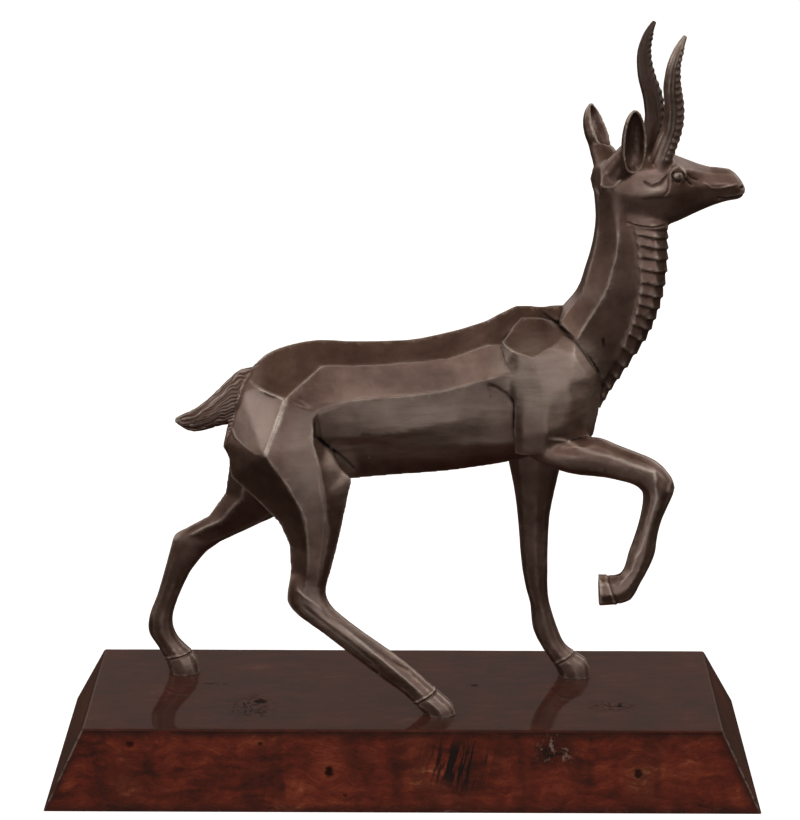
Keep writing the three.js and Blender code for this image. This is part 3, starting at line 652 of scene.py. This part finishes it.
def buildPlinth(material):
    look = plinthLook
    low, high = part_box("plinth")
    bm = bmesh.new()
    bmesh.ops.create_cube(bm, size=1)
    for vert in bm.verts:
        isTop = vert.co.z > 0
        inset = look["slope"] * mm if isTop else 0
        vert.co = Vector(((high.x - inset) * (1 if vert.co.x > 0 else -1),
                          (high.y - inset) * (1 if vert.co.y > 0 else -1), high.z if isTop else low.z))
    upper = [e for e in bm.edges if max(v.co.z for v in e.verts) > low.z + mm]
    bmesh.ops.bevel(bm, geom=upper, offset=look["edge"] * mm, offset_type="OFFSET", affect="EDGES", segments=4,
                    profile=0.5, material=-1)
    for axis, reach in ((Vector((1, 0, 0)), high.x), (Vector((0, 1, 0)), high.y)):
        count = int(2 * reach / (look["step"] * mm))
        for index in range(1, count):
            everything = bm.verts[:] + bm.edges[:] + bm.faces[:]
            bmesh.ops.bisect_plane(bm, geom=everything, plane_co=axis * (2 * reach * index / count - reach),
                                   plane_no=axis)
    bmesh.ops.remove_doubles(bm, verts=bm.verts, dist=0.01 * mm)
    for vert in bm.verts:   # a hand-rubbed edge is never quite straight
        if 0.01 * mm < high.z - vert.co.z < look["wornBand"] * mm:
            push = look["worn"] * max(0, noise.noise(vert.co / (look["waves"] * mm)) + 0.2)
            push += look["dented"] * max(0, noise.noise(vert.co / (look["dents"] * mm)))
            inward = Vector((-vert.co.x, -vert.co.y, 0)).normalized() - Vector((0, 0, 0.6))
            vert.co += inward * push * mm
    bmesh.ops.recalc_face_normals(bm, faces=bm.faces)
    mesh = bpy.data.meshes.new("plinth")
    bm.to_mesh(mesh)
    bm.free()
    mesh.polygons.foreach_set("use_smooth", [True] * len(mesh.polygons))
    mesh.set_sharp_from_angle(angle=radians(look["sharp"]))
    piece = newPiece("plinth_wood", mesh, material)
    even = piece.modifiers.new("even", "WEIGHTED_NORMAL")
    even.keep_sharp = True
    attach(piece, "root")
    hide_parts("plinth")
    print("plinth:", len(mesh.polygons), "faces")


# Reddish hardwood with a burled figure, stained and thickly lacquered: mottled deep reds under a glassy skin, with
# bands of painted sheen across the grain, darker along the edges, a top painted greyer as painted reflection, a
# painted highlight on the corners, knots, open pits and a crazed scar in the lacquer.
woodLook = {
    "shades": [(0.04, "#2e100b"), (0.26, "#571f12"), (0.5, "#782d1b"), (0.74, "#96452d"), (0.96, "#c88358")],
    "top": "#4b3530",     # the top is painted a greyer brown, as a painted reflection of its lacquer
    "topReflectionShare": 0.72,
    "stain": "#1c0d09",
    # pale scuffs and flakes, and the painted highlight on the corners
    "scuffAndGlint": "#9a857c",
    "drift": 20,          # mm, the size of the grain's bends
    "wander": 16,         # mm that the grain strays in them
    "lean": -14,          # degrees that the dark streaks lean
    "topEdge": 44,        # mm above the floor
    "darkEdgeWidth": 7,     # mm along the edges that are darker
    "reach": (216, 85),   # mm from the middle to the foot of each face
    "lacquerRelief": 0.3,   # mm
    "surface": {"Roughness": 0.6, "Specular IOR Level": 0.05, "Coat IOR": 1.35, "Coat Roughness": 0.05},
}   # the wood itself is dull, and the gloss is the lacquer's
# Patterns in the wood: the way they run, size along, across and up in mm, detail, roughness.
grains = {
    "figure": ("bent", (24, 5, 5), 6, 0.62),
    "fibre": ("bent", (8, 0.7, 0.7), 3, 0.7),   # coarser than it is, so that it shows
    "patch": ("straight", (27, 27, 27), 4, 0.55),
    "sheenBands": ("bent", (17, 50, 50), 2, 0.5),   # painted sheen: light and dark bands across the grain
    "streaks": ("leaning", (3.6, 30, 30), 4, 0.6),
    "pores": ("bent", (3.2, 2.0, 2.0), 4, 0.7),
    "crazing": ("straight", (4.2, 5.5, 5.5), 4, 0.75),
    "eyeEdge": ("straight", (5, 3, 3), 3, 0.6),
    "footChips": ("straight", (7, 2, 2), 2, 0.5),
    # breaks the painted highlight on the corners
    "glintNoise": ("straight", (9, 5, 5), 3, 0.6),
    "lacquer": ("straight", (16, 16, 16), 1, 0.5),
}
# Knots: place and reach in mm, how dark the eye is, how orange the flame round it is.
knots = {
    "frontLeft": ((-44, -74, 21.6), (9, 10, 10), 0.95, 0.9),
    "frontRight": ((142.5, -74.5, 21.1), (9, 10, 10), 0.9, 0.8),
    "frontSmall": ((-85.9, -66.8, 36.4), (5, 4, 4), 0.8, 0.2),
    "frontEnd": ((-164.5, -66.9, 36.2), (7, 5, 5), 0.8, 0.2),
    "frontLow": ((-34.4, -80.4, 9.3), (6, 4, 4), 0.6, 0.3),
    "topLeft": ((-88, -20, 44), (12, 9, 9), 0.95, 0.1),
    "topMiddle": ((45, 5.2, 44), (7, 6, 6), 0.7, 0.3),
    "topBack": ((-98, 31.8, 44), (14, 9, 9), 0.0, 0.7),
    "topBackRight": ((-40, 13, 44), (12, 8, 8), 0.0, 0.6),
    "backLeft": ((-120, 74, 22), (9, 10, 10), 0.9, 0.7),
    "backRight": ((80, 73, 24), (9, 10, 10), 0.9, 0.7),
    "leftEnd": ((-205, 20, 22), (8, 7, 7), 0.8, 0.5),
    "rightEnd": ((205, -14, 20), (8, 7, 7), 0.8, 0.5),
}
# Places with damage: middle, reach, both mm.
damage = {
    "streaked": ((34, -72, 26), (25, 16, 21)),      # dark upright streaks
    "crazed": ((92, -69, 34), (13, 12, 11)),        # a scar in the lacquer on the front
    "pitted": ((-93, -28, 44), (17, 22, 4)),        # open grain round the big knot
    "topScar": ((128, -27, 44), (17, 10, 4)),
    "topCrack": ((-118, 6, 44), (12, 3, 4)),
}


def makeWood():
    look = woodLook
    material, tree, surface = newMaterial("lacquered_figured_hardwood")
    place = addNode(tree, "TexCoord", {})["Object"]
    inMm = addNode(tree, "VectorMath", {"operation": "SCALE", 0: place, 3: 1 / mm})[0]
    x, y, z = addNode(tree, "SeparateXYZ", {0: inMm})[:3]

    bent, far, near = inMm, {}, {}   # far: 1 at a spot's reach
    for name, (middle, reach, *_) in (*knots.items(), *damage.items()):
        start, end = (1.7, 0.0) if name in knots else (1.15, 0.35)
        off = addNode(tree, "VectorMath", {"operation": "SUBTRACT", 0: inMm, 1: middle})[0]
        scaled = addNode(tree, "VectorMath", {"operation": "DIVIDE", 0: off, 1: reach})[0]
        far[name] = addNode(tree, "VectorMath", {"operation": "LENGTH", 0: scaled})["Value"]
        near[name] = addNode(tree, "MapRange", {"interpolation_type": "SMOOTHSTEP", 0: far[name],
                                                1: start, 2: end})[0]
        if name in knots:   # the grain flows round a knot
            pull = addNode(tree, "Math", {"operation": "MULTIPLY", 0: near[name], 1: -0.65})[0]
            shift = addNode(tree, "VectorMath", {"operation": "SCALE", 0: off, 3: pull})[0]
            bent = addNode(tree, "VectorMath", {"operation": "ADD", 0: bent, 1: shift})[0]
    drift = addNode(tree, "TexNoise", {"Vector": bent, "Scale": 1 / look["drift"], "Detail": 4.0})["Color"]
    bent = addNode(tree, "VectorMath", {"operation": "MULTIPLY_ADD", 0: drift, 1: (look["wander"],) * 3,
                                        2: bent})[0]
    leaning = addNode(tree, "Mapping", {"Vector": inMm, "Rotation": (0, radians(look["lean"]), 0)})[0]
    ways = {"straight": inMm, "bent": bent, "leaning": leaning}
    value = dict(near)   # every pattern and share below, by name
    for name, (way, size, detail, roughness) in grains.items():
        sized = addNode(tree, "VectorMath", {"operation": "DIVIDE", 0: ways[way], 1: size})[0]
        value[name] = addNode(tree, "TexNoise", {"Vector": sized, "Scale": 1.0, "Detail": detail,
                                                 "Roughness": roughness})[0]

    eyes, flames = 0.0, 0.0
    ragged = addNode(tree, "Math", {"operation": "SUBTRACT", 0: value["eyeEdge"], 1: 0.5})[0]
    for name, (_, _, eye, flame) in knots.items():
        ring = addNode(tree, "Math", {"operation": "MULTIPLY_ADD", 0: ragged, 1: 0.5, 2: far[name]})[0]
        dark = addNode(tree, "MapRange", {"interpolation_type": "SMOOTHSTEP", 0: ring, 1: 0.45, 2: 0.16,
                                          4: eye})[0]
        glow = addNode(tree, "Math", {"operation": "MULTIPLY", 0: near[name], 1: flame})[0]
        eyes = addNode(tree, "Math", {"operation": "MAXIMUM", 0: eyes, 1: dark})[0]
        flames = addNode(tree, "Math", {"operation": "MAXIMUM", 0: flames, 1: glow})[0]
    value["eyes"], value["flames"] = eyes, flames

    mixed = 0.0
    for name, weight in (("figure", 0.6), ("fibre", 0.26), ("patch", 0.56), ("flames", 0.2)):
        mixed = addNode(tree, "Math", {"operation": "MULTIPLY_ADD", 0: value[name], 1: weight, 2: mixed})[0]
    share = addNode(tree, "MapRange", {0: mixed, 1: 0.47, 2: 1.0})[0]
    colour = addNode(tree, "ValToRGB", {0: share})[0]
    fillRamp(colour, [(position, srgb(shade)) for position, shade in look["shades"]])

    fromEdge = []   # mm from the foot of the ends and of the long faces, along their slope
    for reach, along in zip(look["reach"], (x, y)):
        out = addNode(tree, "Math", {"operation": "ABSOLUTE", 0: along})[0]
        leaned = addNode(tree, "Math", {"operation": "MULTIPLY_ADD", 0: z, 1: 0.5, 2: out})[0]
        fromEdge.append(addNode(tree, "Math", {"operation": "SUBTRACT", 0: reach, 1: leaned})[0])
    corner = addNode(tree, "Math", {"operation": "MAXIMUM", 0: fromEdge[0], 1: fromEdge[1]})[0]
    top, edge = look["topEdge"], look["darkEdgeWidth"]
    steps = {   # what is measured, where a smooth step starts and ends, and what it comes to
        "onTop": (z, top - 1.2, top - 0.3, 1.0),
        # the top's painted reflection
        "topReflection": (z, top - 1.2, top - 0.3, look["topReflectionShare"]),
        "rounding": (z, top - 2, top - 1, 0.6),
        "cornerDarkening": (corner, edge, 0, 0.8),
        "topEdgeDarkening": (z, top - edge, top, 0.9),
        "footDarkening": (z, 6, 0, 0.7),
        "patchy": (value["patch"], 0.2, 0.55, 1.0),
        # painted sheen on the sides
        "sheenBanded": (value["sheenBands"], 0.46, 0.66, 0.38),
        "dark": (value["streaks"], 0.46, 0.51, 1.0),
        "open": (value["pores"], 0.5, 0.6, 1.0),
        "burnt": (value["figure"], 0.42, 0.56, 1.0),
        "flakes": (value["crazing"], 0.55, 0.6, 0.85),
        "atFoot": (z, 4.5, 0.5, 0.3),
        "chipped": (value["footChips"], 0.6, 0.75, 1.0),
        # a painted highlight along the slanted corners
        "cornerGlint": (corner, 1.8, 0.4, 0.7),
        "cornerGlintBreaks": (value["glintNoise"], 0.4, 0.6, 1.0),
    }
    for name, (measured, start, end, most) in steps.items():
        value[name] = addNode(tree, "MapRange", {"interpolation_type": "SMOOTHSTEP", 0: measured,
                                                 1: start, 2: end, 4: most})[0]
    recipes = {
        "side": ("SUBTRACT", 1, "onTop"),
        "edges": ("MAXIMUM", "cornerDarkening", "topEdgeDarkening", "footDarkening"),
        "darkEdges": ("MULTIPLY", "edges", "side", "patchy"),
        "sheenOnSides": ("MULTIPLY", "sheenBanded", "side"),
        "streaks": ("MULTIPLY", "dark", "streaked"),
        "openPlaces": ("MAXIMUM", "pitted", "topScar", "topCrack"),
        "openGrain": ("MULTIPLY", "open", "openPlaces"),
        "scar": ("MULTIPLY", "burnt", "crazed"),
        "scarFlakes": ("MULTIPLY", "flakes", "crazed"),
        "foot": ("MULTIPLY", "atFoot", "chipped"),
        # the painted highlight on the corners
        "paleTone": ("MULTIPLY", "cornerGlint", "side", "cornerGlintBreaks"),
        "hollows": ("MAXIMUM", "eyes", "scarFlakes", "openGrain"),
        "thinHollows": ("MULTIPLY", "hollows", 0.85),
        "thinEdge": ("MULTIPLY", "rounding", "side"),
        "thin": ("MAXIMUM", "thinHollows", "thinEdge"),
        "lacquered": ("SUBTRACT", 1, "thin"),
    }
    for name, (operation, first, *others) in recipes.items():
        result = value.get(first, first)
        for other in others:
            result = addNode(tree, "Math", {"operation": operation, 0: result, 1: value.get(other, other)})[0]
        value[name] = result
    layers = (("topReflection", "top"), ("sheenOnSides", "stain"), ("darkEdges", "stain"), ("eyes", "stain"),
              ("streaks", "stain"), ("openGrain", "stain"), ("scar", "stain"), ("scarFlakes", "scuffAndGlint"),
              ("foot", "scuffAndGlint"), ("paleTone", "scuffAndGlint"))
    for name, shade in layers:
        colour = addNode(tree, "Mix", {"data_type": "RGBA", 0: value[name], 6: colour, 7: srgb(look[shade])})[2]

    height = addNode(tree, "Math", {"operation": "MULTIPLY_ADD", 0: value["hollows"], 1: -0.6,
                                    2: value["lacquer"]})[0]
    bump = addNode(tree, "Bump", {"Height": height, "Strength": 0.2, "Distance": look["lacquerRelief"] * mm})[0]
    for name, result in (("Base Color", colour), ("Coat Weight", value["lacquered"]), ("Normal", bump),
                         ("Coat Normal", bump)):
        tree.links.new(result, surface.inputs[name])
    for name, amount in look["surface"].items():
        surface.inputs[name].default_value = amount
    return material


# Studio

studioLook = {
    "target": (-0.002, 0, 0.227),
    "elevation": 17.62,
    "azimuth": 0.5,
    "distance": 1.6375,
    "lens": 118.69,
    "paper": "#f6f5f4",
    "paperGlow": 0.9,   # keeps the paper as white as the photograph's
    "lampsAround": (0, 0, 0.2),
    "floor": 7,    # m
    "cove": [(7, 0), (8, 0.15), (8.8, 0.6), (9.4, 1.5), (9.7, 3), (9.8, 6)],
}
# Softboxes: direction round the object, height above the horizon, distance, size, brightness of the panel.
softboxes = {
    "frontLow": (2, 1.5, 1.25, (1.75, 0.46), 0.55),
    "frontRight": (42, 20, 1.7, (0.7, 0.5), 1.2),
    "table": (0, -20, 0.45, (0.34, 0.08), 0.8),
    "frontHigh": (-18, 48, 1.9, (1.5, 0.75), 0.65),
    "left": (-72, 16, 1.7, (1.0, 0.8), 0.85),
    "right": (95, 35, 1.9, (1.5, 1.1), 0.38),
    "backLeft": (-140, 27, 1.9, (1.5, 1.0), 0.45),
    "backRight": (138, 27, 1.9, (1.5, 1.0), 0.42),
}
# The studio's walls: how high on the ball of surroundings from -1 to 1, and the colour there.
walls = [(-1.0, (0.024, 0.016, 0.012)), (-0.35, (0.040, 0.028, 0.021)), (-0.1, (0.072, 0.053, 0.043)),
         (0.12, (0.20, 0.15, 0.125)), (0.4, (0.30, 0.25, 0.225)), (0.7, (0.25, 0.19, 0.15)),
         (1.0, (0.19, 0.14, 0.11))]


def towards(azimuth, elevation):
    a, e = radians(azimuth), radians(elevation)
    return Vector((sin(a) * cos(e), -cos(a) * cos(e), sin(e)))


def buildCamera():
    look = studioLook
    back = towards(look["azimuth"], look["elevation"])
    lens = bpy.data.cameras.new("camera")
    lens.lens, lens.sensor_width, lens.clip_end = look["lens"], 36, 50
    camera = bpy.data.objects.new("camera", lens)
    bpy.context.scene.collection.objects.link(camera)
    camera.location = Vector(look["target"]) + back * look["distance"]
    camera.rotation_euler = back.to_track_quat("Z", "Y").to_euler()
    bpy.context.scene.camera = camera


def buildFloor():   # a round sheet of paper that curves up all round, so that it has no edge in any view
    look = studioLook
    bm = bmesh.new()
    bmesh.ops.create_circle(bm, cap_ends=True, segments=96, radius=look["floor"])
    rim = bm.edges[:]
    for (wide, high), (wider, higher) in zip(look["cove"], look["cove"][1:]):
        raised = bmesh.ops.extrude_edge_only(bm, edges=rim)["geom"]
        rim = [part for part in raised if isinstance(part, bmesh.types.BMEdge)]
        upper = [part for part in raised if isinstance(part, bmesh.types.BMVert)]
        bmesh.ops.scale(bm, vec=(wider / wide, wider / wide, 1), verts=upper)
        bmesh.ops.translate(bm, vec=(0, 0, higher - high), verts=upper)
    mesh = bpy.data.meshes.new("floor")
    bm.to_mesh(mesh)
    bm.free()
    material, _, surface = newMaterial("pale_paper")
    for name, amount in (("Base Color", srgb(look["paper"])), ("Roughness", 0.9),
                         ("Emission Color", srgb("#ffffff")), ("Emission Strength", look["paperGlow"])):
        surface.inputs[name].default_value = amount
    floor = newPiece("floor", mesh, material)
    floor.visible_glossy = floor.visible_diffuse = floor.visible_shadow = False


def buildLamps():
    for name, (azimuth, elevation, distance, size, brightness) in softboxes.items():
        light = bpy.data.lights.new(name, "AREA")
        light.shape = "RECTANGLE"
        light.size, light.size_y = size
        light.energy = brightness * pi * size[0] * size[1]
        lamp = bpy.data.objects.new(name, light)
        bpy.context.scene.collection.objects.link(lamp)
        direction = towards(azimuth, elevation)
        lamp.location = Vector(studioLook["lampsAround"]) + direction * distance
        lamp.rotation_euler = direction.to_track_quat("Z", "Y").to_euler()
        lamp.visible_camera = False


def buildWalls():
    world = bpy.data.worlds.new("studio")
    bpy.context.scene.world = world
    world.use_nodes = True
    tree = world.node_tree
    direction = addNode(tree, "TexCoord", {})["Generated"]
    height = addNode(tree, "SeparateXYZ", {0: direction})["Z"]
    share = addNode(tree, "MapRange", {0: height, 1: -1.0, 2: 1.0})[0]
    wall = addNode(tree, "ValToRGB", {0: share})[0]
    fillRamp(wall, [((level + 1) / 2, (*colour, 1)) for level, colour in walls])
    tree.links.new(wall, tree.nodes["Background"].inputs[0])


buildCamera()
buildFloor()
buildLamps()
buildWalls()
bpy.context.scene.view_settings.view_transform = "Standard"
print("studio: camera, paper and", len(softboxes), "softboxes")
buildAntelope(makeBronze())
buildPlinth(makeWood())
